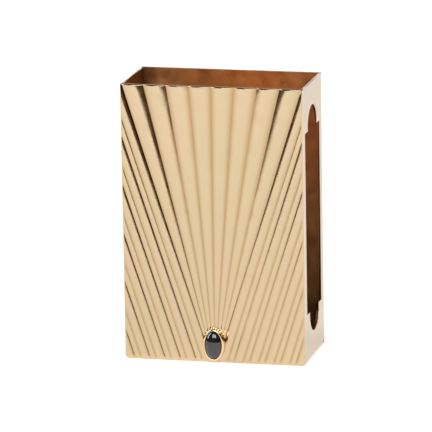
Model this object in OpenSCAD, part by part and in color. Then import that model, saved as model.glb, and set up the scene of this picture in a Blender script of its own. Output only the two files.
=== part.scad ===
// Matchbox holder: an upright sheet-gold case, open at the top, with a fluted sunburst front,
// a striker window in each side and an oval cabochon at the foot of the fan.
// Millimetres. +Z is up, the front faces -Y, and the origin is the middle of the base.

/* [Case] */
// Width of the case across its front
case_w = 38; // [34:0.5:44]
// Depth of the case from the crowns of the flutes to the back
case_d = 18.4; // [16:0.2:24]
// Height of the case from the table to the rim
case_h = 57.8; // [54:0.2:70]
// Thickness of the plain sheet in the back and the sides
sheet_t = 0.45; // [0.35:0.05:0.8]
// Thickness of the bottom plate
bottom_t = 0.6; // [0.4:0.1:1.2]
// Radius of the four upright corners
corner_r = 0.4; // [0.2:0.05:0.8]
// Radius round the bottom edge
bottom_r = 1; // [0.7:0.05:1.1]

/* [Fluted front] */
// Metal left behind the deepest grooves of the front
front_web = 0.5; // [0.35:0.05:0.9]
// Number of flutes in the fan
fan_flutes = 8; // [4:1:12]
// Depth of the fan's grooves at the rim
fan_depth = 0.6; // [0.45:0.05:0.8]
// Distance below the base at which the fan's lines would meet
fan_drop = 1.5; // [0.8:0.1:3]
// Width of a broad flute in the groups beside the fan
gadroon_w = 1.95; // [1.6:0.05:2.6]
// Rise of a broad flute above its grooves
gadroon_rise = 0.35; // [0.25:0.05:0.4]
// Width of a narrow reed between two broad flutes
reed_w = 1.15; // [0.9:0.05:1.6]
// Rise of a narrow reed above its grooves
reed_rise = 0.12; // [0.08:0.02:0.2]

/* [Striker windows] */
// Width of the window along the depth of the case
window_w = 13.5; // [9:0.5:14.5]
// Height of the straight part of the window
window_h = 37.9; // [30:0.1:39]
// Height of the window's middle above the base
window_z = 29.3; // [27.5:0.1:30.5]
// Radius of the round lobe at each end of the window
lobe_r = 4.2; // [2.5:0.1:4.4]
// Distance of a lobe's centre past the end of the straight part
lobe_out = 0.5; // [0:0.1:1]

/* [Stone setting] */
// Width of the stone at its girdle
stone_w = 3.6; // [2.6:0.1:4]
// Length of the stone at its girdle
stone_l = 5.9; // [4.8:0.05:6]
// Height of the stone's middle above the base
stone_z = 4.1; // [4.1:0.1:9]
// Height of the stone's upright edge below its girdle
girdle_h = 0.3; // [0.2:0.05:0.5]
// Height of the dome above the girdle
dome_h = 1.3; // [0.9:0.05:1.8]
// Height of the seat above the face of the front
seat_h = 0.6; // [0.4:0.05:1]
// Width of the ledge that the stone sits on
seat_w = 0.45; // [0.3:0.05:0.8]
// Distance that the foot of the collet stands out past the stone
collet_foot = 0.55; // [0.4:0.05:0.8]
// Share by which the collet narrows from its foot to its rim
collet_taper = 0.07; // [0:0.01:0.1]
// Height of the rubbed-over lip above the girdle
lip_h = 0.35; // [0.2:0.05:0.5]
// Depth to which the collet is let into the front
let_in = 0.2; // [0.1:0.05:0.3]
// Width of the plain land round the foot of the collet
land_w = 0.15; // [0.1:0.05:0.4]
// Clearance between the stone and the lip
stone_gap = 0.02; // [0.01:0.01:0.05]

/* [Hidden] */

$fn = 96;
gold = [0.87, 0.78, 0.60];
sapphire = [0.13, 0.17, 0.22];
// Overshoot of a cut past the face that it opens
past = 1;
// Distance that the case's form stands off the crowns of the flutes
crown_skim = 0.02;

front_t = fan_depth + front_web;
crown_y = -case_d / 2;
front_in = crown_y + front_t;
back_in = case_d / 2 - sheet_t;
side_in = case_w / 2 - sheet_t;

// The fan's lines run from one point below the base to even steps along the rim
fan_rise = case_h + fan_drop;
fan_step = case_w / fan_flutes;
fan_edge = atan2(case_w / 2, fan_rise);

// The groups beside the fan run parallel to its outer lines, as far as the lower corners
pair_w = gadroon_w + reed_w;
side_reach = case_w / 2 * cos(fan_edge) - fan_drop * sin(fan_edge);
side_pairs = ceil(side_reach / pair_w);

stone_base = seat_h;
girdle_y = stone_base + girdle_h;
collet_h = girdle_y + lip_h;
// The lip leans in half as far as the stone narrows under it
lip_lean = (1 - sqrt(1 - (lip_h / dome_h) ^ 2)) / 2;
collet_a = stone_w / 2 + collet_foot;
collet_b = stone_l / 2 + collet_foot;

// Radius of the arc that rises by rise over a chord of width w
function arc_r(w, rise) = (w * w / 4 + rise * rise) / (2 * rise);

// Outer form of the whole case: square at the rim, rounded upright corners and bottom edge
module case_form() {
    intersection() {
        linear_extrude(case_h) rounded(case_w, case_d, corner_r);
        rotate([90, 0, 0]) linear_extrude(2 * case_d, center = true) standing(case_w);
        rotate([90, 0, 90]) linear_extrude(2 * case_w, center = true) standing(case_d);
    }
}

// Rectangle about the origin with round corners
module rounded(w, d, r) {
    square([w - 2 * r, d], center = true);
    square([w, d - 2 * r], center = true);
    for (x = [-1, 1], y = [-1, 1]) translate([x * (w / 2 - r), y * (d / 2 - r)]) circle(r);
}

// Upright outline of the case, standing on its base, with round lower corners
module standing(w) {
    translate([-w / 2, bottom_r]) square([w, case_h - bottom_r]);
    translate([-w / 2 + bottom_r, 0]) square([w - 2 * bottom_r, 2 * bottom_r]);
    for (x = [-1, 1]) translate([x * (w / 2 - bottom_r), bottom_r]) circle(bottom_r);
}

// One flute of the fan, counted from the left. Its crown line lies in the front's face, and
// it is a cone from the point where the fan's lines meet, so it narrows and shallows downwards.
// It starts under the collet, where the land takes over.
module fan_flute(i) {
    left = atan2(-case_w / 2 + i * fan_step, fan_rise);
    right = atan2(-case_w / 2 + (i + 1) * fan_step, fan_rise);
    middle = (left + right) / 2;
    half = (right - left) / 2;
    slope = fan_depth * cos(middle) / fan_rise;
    cone_a = atan((tan(half) ^ 2 + slope ^ 2) / (2 * slope));
    start = fan_drop + stone_z - collet_b / 2;
    reach = fan_rise / cos(middle) + case_d / 2;
    rotate([0, middle, 0]) rotate([-cone_a, 0, 0]) translate([0, 0, start])
        cylinder(h = reach - start, r1 = start * tan(cone_a), r2 = reach * tan(cone_a));
}

// One flute beside the fan: its middle line is offset from the fan's outer line
module side_flute(offset, w, rise) {
    r = arc_r(w, rise);
    rotate([0, -fan_edge, 0]) translate([-offset, r + gadroon_rise - rise, -case_w])
        cylinder(h = fan_rise + 2 * case_w, r = r);
}

// Broad flutes and narrow reeds by turns, starting with a broad one next to the fan
module side_group() {
    for (i = [0 : side_pairs - 1]) {
        side_flute(i * pair_w + gadroon_w / 2, gadroon_w, gadroon_rise);
        side_flute(i * pair_w + gadroon_w + reed_w / 2, reed_w, reed_rise);
    }
}

// Puts what stands on the front's face at the stone's place, with its height towards -Y
module on_face() {
    translate([0, crown_y, stone_z]) rotate([90, 0, 0]) children();
}

// Upright oval block from height z0 to height z1 above the face
module oval(a, b, z0, z1) {
    translate([0, 0, z0]) scale([a, b, 1]) cylinder(h = z1 - z0, r = 1);
}

// Outer form of the collet, from the floor of its pocket to the lip
module collet_form() {
    translate([0, 0, -let_in]) scale([collet_a, collet_b, 1])
        cylinder(h = collet_h + let_in, r1 = 1, r2 = 1 - collet_taper);
}

// Front: fluted outside and flat inside, with a pocket that the collet is let into
module front_plate() {
    color(gold) difference() {
        intersection() {
            // The form stands a hair off the crowns, so that it trims only the flutes' ends
            translate([0, -crown_skim, 0]) case_form();
            translate([-case_w, crown_y - past, -past])
                cube([2 * case_w, front_t + past, case_h + 2 * past]);
            union() {
                translate([-case_w, crown_y + fan_depth + 0.1 * front_web, -past])
                    cube([2 * case_w, front_web, case_h + 2 * past]);
                translate([0, crown_y, -fan_drop]) {
                    for (i = [0 : fan_flutes - 1]) fan_flute(i);
                    side_group();
                    mirror([1, 0, 0]) side_group();
                }
                land();
            }
        }
        on_face() collet_form();
    }
}

// Plain land round the foot of the collet, down to the bottom edge
module land() {
    on_face() {
        oval(collet_a + land_w, collet_b + land_w, -front_t, -let_in / 2);
        translate([-stone_w / 2, -stone_z - past, -front_t])
            cube([stone_w, stone_z + past, front_t - let_in / 2]);
    }
}

// Back: plain sheet as wide and high as the case
module back_plate() {
    color(gold) intersection() {
        case_form();
        translate([-case_w, back_in, 0]) cube([2 * case_w, sheet_t, case_h]);
    }
}

// Window outline in the plane of a side, with x along the depth and y up
module window() {
    square([window_w, window_h], center = true);
    for (y = [-1, 1]) translate([0, y * (window_h / 2 + lobe_out)]) circle(lobe_r);
}

// Side: plain sheet between the front and the back, with its window
module side() {
    difference() {
        intersection() {
            case_form();
            translate([side_in, front_in, 0]) cube([sheet_t, back_in - front_in, case_h]);
        }
        translate([side_in - past, 0, window_z]) rotate([90, 0, 90])
            linear_extrude(sheet_t + 2 * past) window();
    }
}

module right_side() {
    color(gold) side();
}

module left_side() {
    color(gold) mirror([1, 0, 0]) side();
}

// Bottom: a plate set in between the four walls
module bottom_plate() {
    color(gold) intersection() {
        case_form();
        translate([-side_in, front_in, 0]) cube([2 * side_in, back_in - front_in, bottom_t]);
    }
}

// Collet: an oval wall that holds the stone by its rubbed-over lip
module bezel_collet() {
    color(gold) on_face() difference() {
        collet_form();
        scale([stone_w / 2 + stone_gap, stone_l / 2 + stone_gap, 1]) rotate_extrude() polygon([
            [0, -let_in - past], [1, -let_in - past], [1, girdle_y],
            [1 - lip_lean, collet_h], [1 - lip_lean, collet_h + past], [0, collet_h + past]
        ]);
    }
}

// Seat: the bearing strip inside the collet, whose top edge carries the stone
module bezel_seat() {
    color(gold) on_face() difference() {
        oval(stone_w / 2 + stone_gap, stone_l / 2 + stone_gap, -let_in, stone_base);
        oval(stone_w / 2 - seat_w, stone_l / 2 - seat_w, -let_in - past, stone_base + past);
    }
}

// Stone: an oval cabochon with a flat base, a low upright edge and a smooth dome
module cabochon() {
    color(sapphire) on_face() {
        oval(stone_w / 2, stone_l / 2, stone_base, girdle_y);
        intersection() {
            translate([0, 0, girdle_y]) scale([stone_w / 2, stone_l / 2, dome_h]) sphere(1);
            translate([-stone_w, -stone_l, girdle_y]) cube([2 * stone_w, 2 * stone_l, 2 * dome_h]);
        }
    }
}

front_plate();
back_plate();
left_side();
right_side();
bottom_plate();
bezel_collet();
bezel_seat();
cabochon();
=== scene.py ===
import math

import bmesh
import bpy
from mathutils import Matrix, Vector


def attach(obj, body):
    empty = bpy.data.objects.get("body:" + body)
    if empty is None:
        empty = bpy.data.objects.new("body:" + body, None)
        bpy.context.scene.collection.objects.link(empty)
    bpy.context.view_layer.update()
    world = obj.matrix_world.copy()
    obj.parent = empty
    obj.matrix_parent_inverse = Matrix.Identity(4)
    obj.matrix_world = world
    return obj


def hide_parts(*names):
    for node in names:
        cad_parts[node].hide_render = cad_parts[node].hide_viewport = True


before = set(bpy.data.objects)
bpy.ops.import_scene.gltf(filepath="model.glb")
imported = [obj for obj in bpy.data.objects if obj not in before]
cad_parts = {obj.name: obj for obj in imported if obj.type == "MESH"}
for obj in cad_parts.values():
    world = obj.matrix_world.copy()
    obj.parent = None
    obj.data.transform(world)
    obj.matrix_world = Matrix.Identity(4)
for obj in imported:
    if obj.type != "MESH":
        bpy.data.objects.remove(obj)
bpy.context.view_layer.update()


# The camera. A long lens stands in front of the case, a little to its right and above it, and
# is rolled by a degree, so that the right side and the open mouth show.
MM = 0.001
CASE_H = 57.8 * MM

camera_turn, camera_rise, camera_roll = (math.radians(a) for a in (13.79, 13.446, -0.9804))
camera_reach, camera_lens = 1.0215, 414.2
camera_slide = -1.456 * MM

camera_back = Vector((
    math.sin(camera_turn) * math.cos(camera_rise),
    -math.cos(camera_turn) * math.cos(camera_rise),
    math.sin(camera_rise),
))
level_right = Vector((math.cos(camera_turn), math.sin(camera_turn), 0))
camera_right = Matrix.Rotation(camera_roll, 3, camera_back) @ level_right
camera_up = camera_back.cross(camera_right)
camera_stand = Vector((0, 0, CASE_H / 2)) + camera_slide * level_right + camera_reach * camera_back

camera = bpy.data.objects.new("camera", bpy.data.cameras.new("camera"))
camera.data.lens = camera_lens
camera.matrix_world = Matrix((
    (camera_right.x, camera_up.x, camera_back.x, camera_stand.x),
    (camera_right.y, camera_up.y, camera_back.y, camera_stand.y),
    (camera_right.z, camera_up.z, camera_back.z, camera_stand.z),
    (0, 0, 0, 1),
))
bpy.context.collection.objects.link(camera)
bpy.context.scene.camera = camera


# The fluted front. A thick gold plate is chased with a fan of flutes that open from a point
# below the base, and on either side with broad flutes and narrow reeds by turns, parallel to the
# fan's outer line. It is made as a flat sheet, face up, and stood upright at the end.
CASE_W, CASE_D = 38 * MM, 18.4 * MM
FRONT_Y = -CASE_D / 2
FRONT_T = 1.1 * MM
UPRIGHT_EDGE_R = 0.4 * MM
BOTTOM_EDGE_R = 1.0 * MM
STONE_Z = 4.1 * MM
COLLET_A, COLLET_B = 2.34 * MM, 3.48 * MM

# The flutes fade out at the bottom and upright edges, the rim leans in a little, and a small
# fillet of metal is drawn up round the collet.
FRONT_SIZES = {
    "Width": CASE_W,
    "Height": CASE_H,
    "Thickness": FRONT_T,
    "Fan depth": 0.6 * MM,
    "Fan drop": 1.5 * MM,
    "Broad width": 1.95 * MM,
    "Broad rise": 0.26 * MM,
    "Reed width": 1.15 * MM,
    "Reed rise": 0.12 * MM,
    "Upright edge radius": UPRIGHT_EDGE_R,
    "Bottom edge radius": BOTTOM_EDGE_R,
    "Rim edge radius": 0.15 * MM,
    "Rim lean": 0.02 * MM,
    "Rim lean height": 2 * MM,
    "Bottom fade": 1.1 * MM,
    "Upright fade": 0.45 * MM,
    "Collet height": STONE_Z,
    "Collet half width": COLLET_A,
    "Collet half length": COLLET_B,
    "Fillet reach": 0.35 * MM,
    "Fillet rise": 0.06 * MM,
}
FRONT_COUNTS = {"Flutes": 8, "Columns": 14, "Rows": 110}

# Of the columns of a broad flute and its reed, the flute has BROAD_SHARE. HAIR keeps a column
# that lies on a border in the flute at its right.
BROAD_SHARE = 0.6
HAIR = 1e-5

# Points nearer than MERGE become one, an edge turned by more than CREASE stays sharp, and a
# face counts as facing a direction if its normal has more than FACING of it.
MERGE = 0.0008 * MM
CREASE = math.radians(32)
FACING = 0.9


def tone(red, green, blue):
    """Linear colour of a tone given as it looks on paper, from 0 to 255."""
    return tuple(
        (c / 255 / 12.92) if c <= 10 else ((c / 255 + 0.055) / 1.055) ** 2.4
        for c in (red, green, blue)
    ) + (1,)


class Quantity:
    """A number in a node tree, so that a formula can be written as one."""

    def __init__(self, tree, socket):
        self.tree, self.socket = tree, socket

    def op(self, operation, *others):
        node = self.tree.nodes.new("ShaderNodeMath")
        node.operation = operation
        for end, term in zip(node.inputs, (self, *others)):
            if isinstance(term, Quantity):
                self.tree.links.new(term.socket, end)
            else:
                end.default_value = term
        return Quantity(self.tree, node.outputs[0])

    def __add__(self, other):
        return self.op("ADD", other)

    def __sub__(self, other):
        return self.op("SUBTRACT", other)

    def __mul__(self, other):
        return self.op("MULTIPLY", other)

    def __truediv__(self, other):
        return self.op("DIVIDE", other)

    def __neg__(self):
        return self.op("MULTIPLY", -1.0)

    __radd__, __rmul__ = __add__, __mul__

    def __rsub__(self, other):
        return -self + other

    def root(self):
        return self.op("SQRT")

    def floor(self):
        return self.op("FLOOR")

    def size(self):
        return self.op("ABSOLUTE")

    def least(self, other):
        return self.op("MINIMUM", other)

    def most(self, other):
        return self.op("MAXIMUM", other)

    def share(self):
        """Held between 0 and 1."""
        return self.most(0.0).least(1.0)

    def below(self, other):
        """1 where this is less than other, and 0 elsewhere."""
        return self.op("LESS_THAN", other)


def new_material(name):
    """A node material, its tree and its shader."""
    material = bpy.data.materials.new(name)
    material.use_nodes = True
    return material, material.node_tree, material.node_tree.nodes["Principled BSDF"]


def noise(tree, scale, detail=2.0, stretch=(1, 1, 1), seed=(0, 0, 0)):
    """Value of a noise that is fixed to the piece, with scale in repeats per metre."""
    where = tree.nodes.new("ShaderNodeTexCoord")
    place = tree.nodes.new("ShaderNodeMapping")
    place.inputs["Scale"].default_value = stretch
    place.inputs["Location"].default_value = seed
    field = tree.nodes.new("ShaderNodeTexNoise")
    field.inputs["Scale"].default_value = scale
    field.inputs["Detail"].default_value = detail
    tree.links.new(where.outputs["Object"], place.inputs["Vector"])
    tree.links.new(place.outputs["Vector"], field.inputs["Vector"])
    return Quantity(tree, field.outputs["Fac"])


def blend(tree, amount, first, second):
    """Socket of a colour between first, which may be a socket too, and second."""
    mix = tree.nodes.new("ShaderNodeMix")
    mix.data_type = "RGBA"
    tree.links.new(amount.socket, mix.inputs["Factor"])
    if isinstance(first, bpy.types.NodeSocket):
        tree.links.new(first, mix.inputs["A"])
    else:
        mix.inputs["A"].default_value = first
    mix.inputs["B"].default_value = second
    return mix.outputs["Result"]


def spread(amount, low, high):
    """The part of a noise between low and high, stretched to 0 to 1."""
    return ((amount - low) * (1 / (high - low))).share()


def groove_painted_shade(tree):
    """How far a spot of the fluted front lies down in its groove, from 0 to 1, which sets how much
    painted shade it gets.
    """
    mark = tree.nodes.new("ShaderNodeAttribute")
    mark.attribute_name = "hollow"
    deep = spread(Quantity(tree, mark.outputs["Fac"]), 0.35, 1)
    return deep * deep


def inside_painted_shade(tree):
    """How much painted shade the inside gets: more lower down, at the right, and at the left wall.
    """
    where = tree.nodes.new("ShaderNodeTexCoord")
    parted = tree.nodes.new("ShaderNodeSeparateXYZ")
    tree.links.new(where.outputs["Object"], parted.inputs["Vector"])
    across, high = (Quantity(tree, parted.outputs[axis]) for axis in "XZ")
    lower = ((0.9 * CASE_H - high) / CASE_H).share() * 0.55
    at_right = ((across - 6 * MM) / (14 * MM)).share() * 0.25
    at_left = ((-across - 14 * MM) / (5 * MM)).share() * 0.75
    return (lower + at_right + at_left).share()


def gold(name, yellow, pink, polish, wear, waviness, dark=None, where=None):
    """Gold that drifts between a yellow and a pinker tone, and is darkened by painted shade as far
    as where says.

    Its roughness goes from polish to wear, and waviness is the height of its uneven surface."""
    material, tree, shader = new_material(name)
    shader.inputs["Metallic"].default_value = 1
    drift = spread(noise(tree, 90, 3, stretch=(1, 1, 0.45)), 0.35, 0.65)
    colour = blend(tree, drift, yellow, pink)
    if dark:
        colour = blend(tree, where(tree), colour, dark)
    tree.links.new(colour, shader.inputs["Base Color"])
    rubbed = spread(noise(tree, 420, 4, seed=(3, 1, 2)), 0.3, 0.7)
    roughness = rubbed * (wear - polish) + polish
    tree.links.new(roughness.socket, shader.inputs["Roughness"])
    bump = tree.nodes.new("ShaderNodeBump")
    bump.inputs["Distance"].default_value = waviness
    bump.inputs["Strength"].default_value = 1
    tree.links.new(noise(tree, 260, 2, seed=(5, 7, 1)).socket, bump.inputs["Height"])
    tree.links.new(bump.outputs["Normal"], shader.inputs["Normal"])
    return material


# Outside the gold is polished. The inside is left as it was made, in an oranger tone, and is
# darkened to brown by painted shade that grows lower down, towards the right and at the left wall.
# On the fluted front, tone(176, 146, 106) is painted shade, deepest down in the grooves between
# flutes.
fluted_gold = gold(
    # Both its tones are darker than the collet's polished gold, which is the same metal: painted
    # shade on the front.
    "fluted gold", tone(200, 182, 147), tone(204, 182, 151), 0.08, 0.16, 0.006 * MM,
    dark=tone(176, 146, 106), where=groove_painted_shade,
)
# Inside, tone(72, 62, 46) is painted shade on the walls, growing lower down, at the right and at the
# left wall.
brown_gold = gold(
    "unpolished gold", tone(226, 162, 100), tone(210, 144, 86), 0.34, 0.5, 0.02 * MM,
    dark=tone(72, 62, 46), where=inside_painted_shade,
)


def node_tree(name, sizes, counts=(), materials=()):
    """A geometry node tree with named inputs: the tree, its inputs as quantities and its sockets."""
    tree = bpy.data.node_groups.new(name, "GeometryNodeTree")
    sockets = {}
    for names, kind in (
        (sizes, "NodeSocketFloat"), (counts, "NodeSocketInt"), (materials, "NodeSocketMaterial")
    ):
        for label in names:
            sockets[label] = tree.interface.new_socket(label, in_out="INPUT", socket_type=kind)
    tree.interface.new_socket("Geometry", in_out="OUTPUT", socket_type="NodeSocketGeometry")
    source = tree.nodes.new("NodeGroupInput")
    values = {label: Quantity(tree, source.outputs[label]) for label in sockets}
    return tree, values, {label: s.identifier for label, s in sockets.items()}


def add_node(tree, kind, inputs=(), **settings):
    """A node with its settings, and its inputs set or linked by name or number."""
    node = tree.nodes.new(kind)
    for label, value in settings.items():
        setattr(node, label, value)
    for label, value in dict(inputs).items():
        if isinstance(value, Quantity):
            tree.links.new(value.socket, node.inputs[label])
        elif isinstance(value, bpy.types.NodeSocket):
            tree.links.new(value, node.inputs[label])
        else:
            node.inputs[label].default_value = value
    return node


def round_over(radius, distance):
    """Depth of an edge rounded to radius, at a distance in from the edge."""
    inward = (radius - distance).most(0.0)
    return radius - (radius * radius - inward * inward).most(0.0).root()


def row_height(v, top):
    """Height of row v of a line from 0 to top: close rows at both ends and beside the collet."""
    end_rows, collet_rows = 0.2, 0.4
    high_rows = 1 - 2 * end_rows - collet_rows
    low = (top / 3).least(1.2 * MM)
    collet = (top * 0.6).least(9 * MM)
    high = top - (top / 3).least(1.3 * MM)
    bottom_turn = (v / end_rows).share() * (math.pi / 2)
    top_turn = ((v - (1 - end_rows)) / end_rows).share() * (math.pi / 2)
    height = low * (1 - bottom_turn.op("COSINE"))
    height = height + (collet - low) * ((v - end_rows) / collet_rows).share()
    height = height + (high - collet) * ((v - end_rows - collet_rows) / high_rows).share()
    return height + (top - high) * top_turn.op("SINE")


def unit_grid(tree, size, columns):
    """A grid with u and v from 0 to 1, to be moved into place."""
    sheet = add_node(tree, "GeometryNodeMeshGrid", {
        "Size X": 1.0, "Size Y": 1.0, "Vertices X": columns, "Vertices Y": size["Rows"],
    })
    spot = add_node(tree, "ShaderNodeSeparateXYZ", {
        "Vector": add_node(tree, "GeometryNodeInputPosition").outputs[0]
    })
    u, v = (Quantity(tree, spot.outputs[axis]) + 0.5 for axis in "XY")
    return sheet.outputs["Mesh"], u, v


def cone_depth(along, across, turn_tan):
    """Depth of a cone's side that lies along the face, across from its crown line."""
    t2 = turn_tan * turn_tan
    inside = (along * along * t2 - (1 - t2) * across * across).most(0.0)
    return (along * turn_tan - inside.root()) / (1 - t2)


def border_lean(size, flute):
    """Lean of the line between a flute of the fan and the one at its left."""
    foot_to_rim = size["Height"] + size["Fan drop"]
    from_middle = flute * (size["Width"] / size["Flutes"]) - size["Width"] / 2
    return (from_middle / foot_to_rim).op("ARCTANGENT")


def fan_depth(size, z, flute, lean):
    """Depth of a flute of the fan at height z, on the line that leans by lean."""
    left, right = border_lean(size, flute), border_lean(size, flute + 1)
    middle, half = (left + right) / 2, (right - left) / 2
    slope = size["Fan depth"] * middle.op("COSINE") / (size["Height"] + size["Fan drop"])
    half_tan = half.op("TANGENT")
    turn_tan = (half_tan * half_tan + slope * slope) / (2 * slope)
    reach = (z + size["Fan drop"]) / lean.op("COSINE")
    off = lean - middle
    return cone_depth(reach * off.op("COSINE"), reach * off.op("SINE"), turn_tan)


def edge_and_fade(size, x, z):
    """Depth of the rounded edges at a spot, and how fully the flutes are sunk there."""
    edge = round_over(size["Bottom edge radius"], z)
    from_side = size["Width"] / 2 - edge - x
    side = round_over(size["Upright edge radius"], from_side)
    fade = (z / size["Bottom fade"]).share()
    fade_side = (from_side / size["Upright fade"]).share()
    fade = fade * (2 - fade) * fade_side * (2 - fade_side)
    from_rim = size["Height"] - z
    lean = (1 - from_rim / size["Rim lean height"]).most(0.0)
    lean = lean * lean * size["Rim lean"]
    rim = round_over(size["Rim edge radius"], from_rim)
    return (edge * edge + side * side).root() + lean + rim, fade


def collet_fillet(size, x, z):
    """Height of the metal drawn up round the collet."""
    across = x / size["Collet half width"]
    along = (z - size["Collet height"]) / size["Collet half length"]
    from_collet = ((across * across + along * along).root() - 1) * size["Collet half width"]
    near = (1 - from_collet / size["Fillet reach"]).share()
    return near * near * size["Fillet rise"]


def surface(tree, size, mesh, x, z, flute_depth, hollow):
    """Moves a grid to x across and z up, at the depth of its flutes and of the edges."""
    x = x.least(size["Width"] / 2 - round_over(size["Bottom edge radius"], z))
    edges, fade = edge_and_fade(size, x, z)
    depth = flute_depth * fade + edges - collet_fillet(size, x, z)
    place = add_node(tree, "ShaderNodeCombineXYZ", {"X": x, "Y": z, "Z": -depth})
    marked = add_node(tree, "GeometryNodeStoreNamedAttribute", {
        "Geometry": mesh, "Name": "hollow", "Value": hollow * fade
    }, data_type="FLOAT", domain="POINT")
    moved = add_node(tree, "GeometryNodeSetPosition", {
        "Geometry": marked.outputs[0], "Position": place.outputs[0]
    })
    return moved.outputs[0]


def fan(tree, size):
    """The fan, with hollow 0 on a flute's crown and 1 between two flutes."""
    mesh, u, v = unit_grid(tree, size, size["Flutes"] * size["Columns"] + 1)
    count = u * size["Flutes"]
    flute = (count + HAIR).floor().least(size["Flutes"] - 1)
    left = border_lean(size, flute)
    lean = left + (border_lean(size, flute + 1) - left) * (count - flute)
    z = row_height(v, size["Height"])
    x = (z + size["Fan drop"]) * lean.op("TANGENT")
    hollow = ((count - flute) * 2 - 1).size()
    return surface(tree, size, mesh, x, z, fan_depth(size, z, flute, lean), hollow)


def side_group(tree, size):
    """The group at the right of the fan. Its first column is the step down from the fan."""
    drop, half_width = size["Fan drop"], size["Width"] / 2
    edge_lean = (half_width / (size["Height"] + drop)).op("ARCTANGENT")
    edge_sin, edge_cos, edge_tan = (edge_lean.op(f) for f in ("SINE", "COSINE", "TANGENT"))
    pair = size["Broad width"] + size["Reed width"]
    pairs = ((half_width * edge_cos - drop * edge_sin) / pair).op("CEIL")
    mesh, u, v = unit_grid(tree, size, pairs * size["Columns"] * 2 + 2)
    column = u * (pairs * size["Columns"] * 2 + 1)
    step = column.below(0.5)

    # How far across its own flute or reed a column lies
    count = ((column - 1) / (size["Columns"] * 2)).most(0.0)
    whole = (count + HAIR).floor()
    part = (count - whole).most(0.0)
    broad = part.below(BROAD_SHARE)
    reed = 1 - broad
    in_broad = size["Broad width"] * part / BROAD_SHARE
    in_reed = size["Reed width"] * (part - BROAD_SHARE) / (1 - BROAD_SHARE)
    offset = broad * in_broad + reed * in_reed

    # Its depth under its own crown, on a round arc
    chord = broad * size["Broad width"] + reed * size["Reed width"]
    lift = broad * size["Broad rise"] + reed * size["Reed rise"]
    radius = (chord * chord / 4 + lift * lift) / (2 * lift)
    from_crown = offset - chord / 2
    arc = radius - (radius * radius - from_crown * from_crown).most(0.0).root()

    across = whole * pair + offset + reed * size["Broad width"]
    z = row_height(v, (size["Height"] - across / edge_sin).most(0.0))
    x = drop * edge_tan + across / edge_cos + z * edge_tan
    step_depth = fan_depth(size, z, size["Flutes"] - 1, edge_lean)
    depth = step * step_depth + (1 - step) * (size["Broad rise"] - lift + arc)
    return surface(tree, size, mesh, x, z, depth, from_crown.size() / (chord / 2))


def joined(tree, meshes):
    """Several meshes as one, with the points that meet merged."""
    join = add_node(tree, "GeometryNodeJoinGeometry")
    for mesh in meshes:
        tree.links.new(mesh, join.inputs[0])
    merge = add_node(tree, "GeometryNodeMergeByDistance", {
        "Geometry": join.outputs[0], "Distance": MERGE
    })
    return merge.outputs[0]


def plate_behind(tree, size, face):
    """The plate of a fluted face: its edges run straight back to its flat inner face."""
    neighbours = add_node(tree, "GeometryNodeInputMeshEdgeNeighbors")
    border = Quantity(tree, neighbours.outputs["Face Count"]).below(1.5)
    spot = add_node(tree, "ShaderNodeSeparateXYZ", {
        "Vector": add_node(tree, "GeometryNodeInputPosition").outputs[0]
    })
    behind = add_node(tree, "ShaderNodeCombineXYZ", {
        "X": spot.outputs["X"], "Y": spot.outputs["Y"], "Z": -size["Thickness"]
    })
    edges = add_node(tree, "GeometryNodeExtrudeMesh", {
        "Mesh": face, "Selection": border, "Offset Scale": 0.0
    }, mode="EDGES")
    walls = add_node(tree, "GeometryNodeSetPosition", {
        "Geometry": edges.outputs["Mesh"], "Selection": edges.outputs["Top"],
        "Position": behind.outputs[0],
    })
    outline = add_node(tree, "GeometryNodeMeshToCurve", {"Mesh": face, "Selection": border})
    level = add_node(tree, "ShaderNodeCombineXYZ", {
        "X": spot.outputs["X"], "Y": spot.outputs["Y"]
    })
    outline = add_node(tree, "GeometryNodeSetPosition", {
        "Geometry": outline.outputs[0], "Position": level.outputs[0]
    })
    inner = add_node(tree, "GeometryNodeFillCurve", {"Curve": outline.outputs[0]}, mode="NGONS")
    back = add_node(tree, "ShaderNodeCombineXYZ", {"Z": -size["Thickness"]})
    inner = add_node(tree, "GeometryNodeTransform", {
        "Geometry": inner.outputs[0], "Translation": back.outputs[0]
    })
    inner = add_node(tree, "GeometryNodeFlipFaces", {"Mesh": inner.outputs[0]})
    return joined(tree, (walls.outputs[0], inner.outputs[0]))


def with_creases(tree, mesh):
    """The mesh shaded smooth, with its creases left sharp."""
    smooth = add_node(tree, "GeometryNodeSetShadeSmooth", {"Geometry": mesh})
    angle = add_node(tree, "GeometryNodeInputMeshEdgeAngle")
    gentle = Quantity(tree, angle.outputs["Unsigned Angle"]).below(CREASE)
    creased = add_node(tree, "GeometryNodeSetShadeSmooth", {
        "Geometry": smooth.outputs[0], "Shade Smooth": gentle
    }, domain="EDGE")
    return creased.outputs[0]


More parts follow.
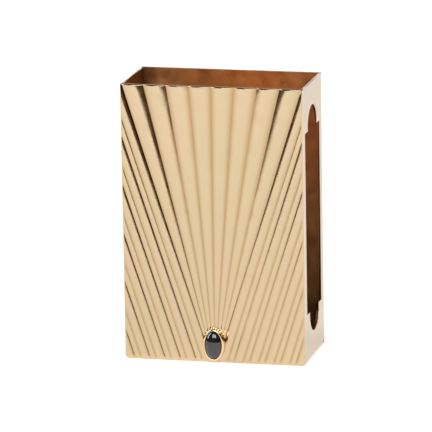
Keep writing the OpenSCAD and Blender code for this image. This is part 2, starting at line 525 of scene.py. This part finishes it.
def fluted_front_tree():
    """The node tree of the fluted front, and the identifiers of its inputs."""
    tree, size, names = node_tree(
        "fluted front", FRONT_SIZES, FRONT_COUNTS, ("Outside", "Inside")
    )
    group = side_group(tree, size)
    other = add_node(tree, "GeometryNodeTransform", {"Geometry": group, "Scale": (-1, 1, 1)})
    other = add_node(tree, "GeometryNodeFlipFaces", {"Mesh": other.outputs[0]})
    face = joined(tree, (fan(tree, size), group, other.outputs[0]))
    plate = with_creases(tree, plate_behind(tree, size, face))
    upright = add_node(tree, "GeometryNodeTransform", {
        "Geometry": plate, "Rotation": (math.pi / 2, 0, 0), "Translation": (0, FRONT_Y, 0)
    })
    realized = add_node(tree, "GeometryNodeRealizeInstances", {"Geometry": upright.outputs[0]})
    outside = add_node(tree, "GeometryNodeSetMaterial", {
        "Geometry": realized.outputs[0], "Material": size["Outside"]
    })
    facing = add_node(tree, "ShaderNodeSeparateXYZ", {
        "Vector": add_node(tree, "GeometryNodeInputNormal").outputs[0]
    })
    inward = 1 - Quantity(tree, facing.outputs["Y"]).below(FACING)
    inside = add_node(tree, "GeometryNodeSetMaterial", {
        "Geometry": outside.outputs[0], "Selection": inward, "Material": size["Inside"]
    })
    output = tree.nodes.new("NodeGroupOutput")
    tree.links.new(inside.outputs[0], output.inputs[0])
    return tree, names


def piece_from_tree(name, tree, names, settings):
    """Runs a node tree with its settings and keeps its result as a plain mesh."""
    host = bpy.data.objects.new(name, bpy.data.meshes.new(name))
    bpy.context.collection.objects.link(host)
    modifier = host.modifiers.new(name, "NODES")
    modifier.node_group = tree
    for label, value in settings.items():
        modifier[names[label]] = value
    host.data.update()
    evaluated = host.evaluated_get(bpy.context.evaluated_depsgraph_get())
    mesh = bpy.data.meshes.new_from_object(evaluated)
    host.modifiers.clear()
    host.data = mesh
    mesh.name = name
    return host


front_tree, front_inputs = fluted_front_tree()
fluted_front = piece_from_tree("fluted_front", front_tree, front_inputs, {
    **FRONT_SIZES, **FRONT_COUNTS, "Outside": fluted_gold, "Inside": brown_gold,
})
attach(fluted_front, "root")
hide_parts("front_plate")


# The back wall. It is plain gold sheet, as the sides are. It covers the sides' edges, and its
# corners and bottom edge are rounded like the front's. The rim's edges are just broken.
BACK_Y = CASE_D / 2
SHEET_T = 0.45 * MM
RIM_BREAK = 0.07 * MM

# Its tones are darker still than the collet's polished gold, which is the same metal: painted shade
# on the walls and bottom.
sheet_gold = gold(
    "plain gold", tone(184, 169, 142), tone(187, 169, 144), 0.08, 0.16, 0.006 * MM
)


def new_piece(name, mesh_data, materials):
    """A smooth-shaded object of a bmesh, with its creases left sharp."""
    bmesh.ops.remove_doubles(mesh_data, verts=mesh_data.verts, dist=MERGE)
    bmesh.ops.dissolve_degenerate(mesh_data, edges=mesh_data.edges, dist=MERGE / 2)
    bmesh.ops.recalc_face_normals(mesh_data, faces=mesh_data.faces)
    for face in mesh_data.faces:
        face.smooth = True
    for edge in mesh_data.edges:
        if len(edge.link_faces) == 2:
            edge.smooth = edge.calc_face_angle(0) < CREASE
    mesh = bpy.data.meshes.new(name)
    mesh_data.to_mesh(mesh)
    mesh_data.free()
    for material in materials:
        mesh.materials.append(material)
    piece = bpy.data.objects.new(name, mesh)
    bpy.context.collection.objects.link(piece)
    return piece


def loft(loops, ring=False):
    """A closed solid through loops of as many points each, capped, or joined end to end."""
    solid = bmesh.new()
    rows = [[solid.verts.new(p) for p in loop] for loop in loops]
    pairs = list(zip(rows, rows[1:] + rows[:1])) if ring else list(zip(rows, rows[1:]))
    for lower, upper in pairs:
        for k in range(len(lower)):
            solid.faces.new((lower[k - 1], lower[k], upper[k], upper[k - 1]))
    if not ring:
        solid.faces.new(rows[0])
        solid.faces.new(reversed(rows[-1]))
    return solid


def paint_inside(piece, inside):
    """Gives the second material to the faces whose normal inside accepts."""
    for face in piece.data.polygons:
        if inside(face.normal):
            face.material_index = 1


def quarter_turn(steps):
    """The angles of a quarter turn, from 0."""
    return [math.pi / 2 * k / steps for k in range(steps + 1)]


def edge_depth(radius, distance):
    """Depth of a rounded edge at a distance in from it."""
    inward = max(radius - distance, 0)
    return radius - math.sqrt(max(radius * radius - inward * inward, 0))


def outer_height(depth):
    """Height at which the rounded bottom edge is depth in from the wall's face."""
    inward = BOTTOM_EDGE_R - depth
    return BOTTOM_EDGE_R - math.sqrt(BOTTOM_EDGE_R**2 - inward**2)


def rounded_rows(bottom, top):
    """Heights of rows that are close where the bottom edge and the rim are rounded."""
    steps = 12
    low = [bottom + (BOTTOM_EDGE_R - bottom) * (1 - math.cos(a)) for a in quarter_turn(steps)]
    high = [top - RIM_BREAK + RIM_BREAK * math.sin(a) for a in quarter_turn(steps)]
    return low + high


def back_loop(z):
    """Outline of the back wall at height z, seen from above."""
    low = edge_depth(BOTTOM_EDGE_R, z)
    rim = edge_depth(RIM_BREAK, CASE_H - z)
    half, outer, inner = CASE_W / 2 - low, BACK_Y - low, BACK_Y - SHEET_T
    radius = min(UPRIGHT_EDGE_R, outer - inner)
    points = [(-half + rim, inner + rim, z)]
    for a in quarter_turn(8):
        points.append((
            -half + radius - (radius - rim) * math.cos(a),
            outer - radius + (radius - rim) * math.sin(a), z,
        ))
    return points + [(-x, y, z) for x, y, z in reversed(points)]


WALL_FOOT = outer_height(SHEET_T)
back_wall = new_piece(
    "back_wall", loft([back_loop(z) for z in rounded_rows(WALL_FOOT, CASE_H)]),
    (sheet_gold, brown_gold),
)
paint_inside(back_wall, lambda normal: normal.y < -FACING)
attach(back_wall, "root")
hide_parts("back_plate")


# The side walls and their striker windows. Each wall is plain gold sheet, soldered between the
# front and the back. Its window is an upright slot with a round lobe at both ends, pierced
# through the sheet and filed, so that a match can be struck on the box.
WINDOW_HALF_W, WINDOW_HALF_H = 6.75 * MM, 18.95 * MM
WINDOW_Z = 29.3 * MM
LOBE_R, LOBE_OUT = 4.2 * MM, 0.5 * MM
WINDOW_BREAK = 0.06 * MM
WALL_FRONT_Y, WALL_BACK_Y = FRONT_Y + FRONT_T, BACK_Y - SHEET_T
EDGE_TO_WINDOW = (0, 0.01, 0.03, 0.06, 0.1, 0.15, 0.2, 0.3, 0.5, 0.8)


def window_outline():
    """Points round the window, from its middle, as (y, z, and the way out from the window)."""
    side_steps, shoulder_steps, lobe_steps = 24, 6, 48
    neck = math.asin(LOBE_OUT / LOBE_R)
    neck_y = LOBE_R * math.cos(neck)
    shoulder = [
        WINDOW_HALF_W + (neck_y - WINDOW_HALF_W) * k / shoulder_steps
        for k in range(1, shoulder_steps)
    ]
    points = [
        (WINDOW_HALF_W, WINDOW_HALF_H * k / side_steps, 1, 0)
        for k in range(-side_steps, side_steps + 1)
    ]
    points += [(y, WINDOW_HALF_H, 0, 1) for y in shoulder]
    for k in range(lobe_steps + 1):
        a = -neck + (math.pi + 2 * neck) * k / lobe_steps
        points.append((
            LOBE_R * math.cos(a), WINDOW_HALF_H + LOBE_OUT + LOBE_R * math.sin(a),
            math.cos(a), math.sin(a),
        ))
    points += [(-y, WINDOW_HALF_H, 0, 1) for y in reversed(shoulder)]
    return points + [(-y, -z, -out_y, -out_z) for y, z, out_y, out_z in points]


def wall_edge(y, z):
    """The point on the wall's outline that faces a point of the window."""
    reach_z = (CASE_H - WINDOW_Z) if z > 0 else WINDOW_Z
    reach_y = WALL_BACK_Y if y > 0 else -WALL_FRONT_Y
    scale = min(reach_y / max(abs(y), 1e-9), reach_z / max(abs(z), 1e-9))
    return y * scale, WINDOW_Z + z * scale


def wall_section(window_y, window_z, out_y, out_z):
    """The wall cut open from its edge to a point of the window: outside in, and inside back."""
    edge_y, edge_z = wall_edge(window_y, window_z)
    window_z += WINDOW_Z
    outer_x, inner_x = CASE_W / 2, CASE_W / 2 - SHEET_T
    rows = [
        (edge_y + (window_y - edge_y) * share, edge_z + (window_z - edge_z) * share)
        for share in EDGE_TO_WINDOW
    ]
    section = []
    for row, (y, z) in enumerate(rows):
        low = edge_depth(BOTTOM_EDGE_R, z)
        if row == 0 and low > SHEET_T:
            z, low = WALL_FOOT, SHEET_T
        section.append((outer_x - low - edge_depth(RIM_BREAK, CASE_H - z), y, z))
    broken = [
        (WINDOW_BREAK * (1 - math.cos(a)), WINDOW_BREAK * (1 - math.sin(a)))
        for a in quarter_turn(4)
    ]
    for depth, gap in broken:
        section.append((outer_x - depth, window_y + out_y * gap, window_z + out_z * gap))
    for gap, depth in broken:
        section.append((inner_x + depth, window_y + out_y * gap, window_z + out_z * gap))
    for y, z in reversed(rows):
        z = max(z, WALL_FOOT)
        section.append((inner_x + edge_depth(RIM_BREAK, CASE_H - z), y, z))
    return section


for name, node, side in (("right_wall", "right_side", 1), ("left_wall", "left_side", -1)):
    sections = [wall_section(*point) for point in window_outline()]
    sections = [[(side * x, y, z) for x, y, z in section] for section in sections]
    wall = new_piece(name, loft(sections, ring=True), (sheet_gold, brown_gold))
    paint_inside(wall, lambda normal: normal.x * side < -FACING)
    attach(wall, "root")
    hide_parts(node)


# The bottom. A flat gold plate is let in between the four walls and soldered, its edges filed
# to the same rounding as the walls.
BOTTOM_T = 0.6 * MM


def bottom_loop(z):
    """Outline of the bottom plate at height z, seen from above."""
    half = min(CASE_W / 2 - SHEET_T, CASE_W / 2 - edge_depth(BOTTOM_EDGE_R, z))
    rear = min(BACK_Y - SHEET_T, BACK_Y - edge_depth(BOTTOM_EDGE_R, z))
    return [(-half, WALL_FRONT_Y, z), (half, WALL_FRONT_Y, z), (half, rear, z), (-half, rear, z)]


bottom_rows = [WALL_FOOT * (1 - math.cos(a)) for a in quarter_turn(8)]
bottom = new_piece(
    "bottom", loft([bottom_loop(z) for z in bottom_rows + [BOTTOM_T]]), (sheet_gold, brown_gold)
)
paint_inside(bottom, lambda normal: normal.z > FACING)
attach(bottom, "root")
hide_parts("bottom_plate")


# The collet and its seat. A tapered oval wall of polished gold is let into the front at the
# foot of the fan, and its lip is rubbed over the stone. The seat, a strip inside it, carries
# the stone.
STONE_A, STONE_B = 1.8 * MM, 2.95 * MM
STONE_GAP = 0.02 * MM
COLLET_H = 1.25 * MM
COLLET_TAPER = 0.975
LIP_R = 0.4 * MM
LIP_OPENING, LIP_DROP = 0.05 * MM, 0.08 * MM
LET_IN = 0.2 * MM
SEAT_W, SEAT_H = 0.45 * MM, 0.6 * MM
GIRDLE_TOP = 0.9 * MM

polished_gold = gold(
    "polished gold", tone(224, 198, 154), tone(230, 199, 163), 0.08, 0.16, 0.006 * MM
)


def oval(a, b, height, steps=96):
    """Points of an oval round the stone's middle, at a height off the front."""
    points = []
    for k in range(steps):
        turn = 2 * math.pi * k / steps
        points.append((a * math.cos(turn), FRONT_Y - height, STONE_Z + b * math.sin(turn)))
    return points


def round_stone(offset, height):
    """An oval that is offset out from the stone's edge, at a height off the front."""
    return oval(STONE_A + offset, STONE_B + offset, height)


def collet_rings():
    """The collet's section as rings: up the outside, over the lip and down the inside."""
    rings = [oval(COLLET_A, COLLET_B, -LET_IN)]
    wall_steps = 8
    for k in range(1, wall_steps + 1):
        t = k / wall_steps
        taper = 1 - (1 - COLLET_TAPER) * t
        height = -LET_IN + (COLLET_H - LIP_R + LET_IN) * t
        rings.append(oval(COLLET_A * taper, COLLET_B * taper, height))
    out_a, out_b = COLLET_A * COLLET_TAPER, COLLET_B * COLLET_TAPER
    for a in quarter_turn(8)[1:]:
        off = LIP_R * (1 - math.cos(a))
        rings.append(oval(out_a - off, out_b - off, COLLET_H - LIP_R + LIP_R * math.sin(a)))
    for a in quarter_turn(8)[1:]:
        opening = LIP_OPENING * (1 - math.sin(a))
        rings.append(round_stone(opening, COLLET_H - LIP_DROP * (1 - math.cos(a))))
    return rings + [round_stone(STONE_GAP, GIRDLE_TOP), round_stone(STONE_GAP, -LET_IN)]


collet = new_piece("collet", loft(collet_rings(), ring=True), (polished_gold,))
seat_rings = [
    round_stone(STONE_GAP, -LET_IN), round_stone(STONE_GAP, SEAT_H),
    round_stone(-SEAT_W, SEAT_H), round_stone(-SEAT_W, -LET_IN),
]
seat = new_piece("seat", loft(seat_rings, ring=True), (brown_gold,))
for piece, node in ((collet, "bezel_collet"), (seat, "bezel_seat")):
    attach(piece, "root")
    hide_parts(node)


# The stone. An oval cabochon of dark blue sapphire, nearly black, polished like glass. It rests
# on the seat, and the collet's lip holds it.
DOME_H = 1.3 * MM
DOME_STEPS = 40

stone_material, tree, shader = new_material("dark blue stone")
depths = spread(noise(tree, 500, 3), 0.4, 0.7)
tree.links.new(
    blend(tree, depths, tone(10, 14, 24), tone(20, 34, 44)), shader.inputs["Base Color"]
)
shader.inputs["Roughness"].default_value = 0.04
shader.inputs["IOR"].default_value = 1.77

stone_rings = [round_stone(0, SEAT_H), round_stone(0, GIRDLE_TOP)]
for a in quarter_turn(DOME_STEPS)[1:-1]:
    stone_rings.append(
        oval(STONE_A * math.cos(a), STONE_B * math.cos(a), GIRDLE_TOP + DOME_H * math.sin(a))
    )
stone = new_piece("stone", loft(stone_rings), (stone_material,))
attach(stone, "root")
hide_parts("cabochon")


# The table and the paper behind it. Both are pale, matt and bare. The table is round, and the
# paper stands on it, curved round the back of the case.
TABLE_R = 0.7
PAPER_R, PAPER_H = 0.6, 0.2
PAPER_MIDDLE, PAPER_HALF = math.radians(90 + 13.8), math.radians(55)
PALE = tone(235, 234, 232)


def pale(name, glow):
    """Matt white that the camera and the metal see a little brighter than the lamps make it."""
    material, tree, shader = new_material(name)
    shader.inputs["Base Color"].default_value = PALE
    shader.inputs["Roughness"].default_value = 1
    shader.inputs["Specular IOR Level"].default_value = 0
    path = tree.nodes.new("ShaderNodeLightPath")
    seen = Quantity(tree, path.outputs["Is Camera Ray"]).most(
        Quantity(tree, path.outputs["Is Glossy Ray"])
    )
    shader.inputs["Emission Color"].default_value = (1, 1, 1, 1)
    tree.links.new((seen * glow).socket, shader.inputs["Emission Strength"])
    return material


table_mesh = bmesh.new()
bmesh.ops.create_circle(table_mesh, cap_ends=True, segments=128, radius=TABLE_R)
table = new_piece("table", table_mesh, (pale("matt white", 0.62),))
if table.data.polygons[0].normal.z < 0:
    table.data.flip_normals()

paper_mesh = bmesh.new()
paper_steps = 24
uprights = []
for k in range(paper_steps + 1):
    a = PAPER_MIDDLE - PAPER_HALF + 2 * PAPER_HALF * k / paper_steps
    x, y = PAPER_R * math.cos(a), PAPER_R * math.sin(a)
    uprights.append([paper_mesh.verts.new((x, y, z)) for z in (0, PAPER_H)])
for (low, high), (next_low, next_high) in zip(uprights, uprights[1:]):
    paper_mesh.faces.new((low, next_low, next_high, high))
paper = new_piece("paper", paper_mesh, (pale("white paper", 0.6),))


# The lamps and the room. Three soft boxes light the case: a tall one at the left, a broad one
# high in front and a small one at the back right. The dim room gives a little even light.
def soft_box(name, turn, rise, reach, across, tall, brightness):
    """A lamp turn degrees to the right of the front and rise degrees up that faces the case."""
    lamp = bpy.data.lights.new(name, "AREA")
    lamp.shape = "RECTANGLE"
    lamp.size, lamp.size_y = across, tall
    lamp.energy = brightness * math.pi * across * tall
    holder = bpy.data.objects.new(name, lamp)
    turn, rise = math.radians(turn), math.radians(rise)
    towards = Vector((
        math.sin(turn) * math.cos(rise), -math.cos(turn) * math.cos(rise), math.sin(rise)
    ))
    case_middle = Vector((0, 0, 30 * MM))
    holder.location = case_middle + reach * towards
    holder.rotation_euler = towards.to_track_quat("Z", "Y").to_euler()
    bpy.context.collection.objects.link(holder)


soft_box("left_box", turn=-75, rise=30, reach=1.2, across=0.35, tall=0.9, brightness=7)
soft_box("front_box", turn=12, rise=36, reach=1.3, across=1.1, tall=0.65, brightness=5)
soft_box("back_box", turn=140, rise=32, reach=1.2, across=0.5, tall=0.4, brightness=4)

world = bpy.data.worlds.new("room")
bpy.context.scene.world = world
world.use_nodes = True
tree = world.node_tree
path = tree.nodes.new("ShaderNodeLightPath")
seen = Quantity(tree, path.outputs["Is Camera Ray"])
room = blend(tree, seen, tone(92, 68, 48), (1, 1, 1, 1))
tree.links.new(room, tree.nodes["Background"].inputs["Color"])

bpy.context.scene.view_settings.view_transform = "Standard"
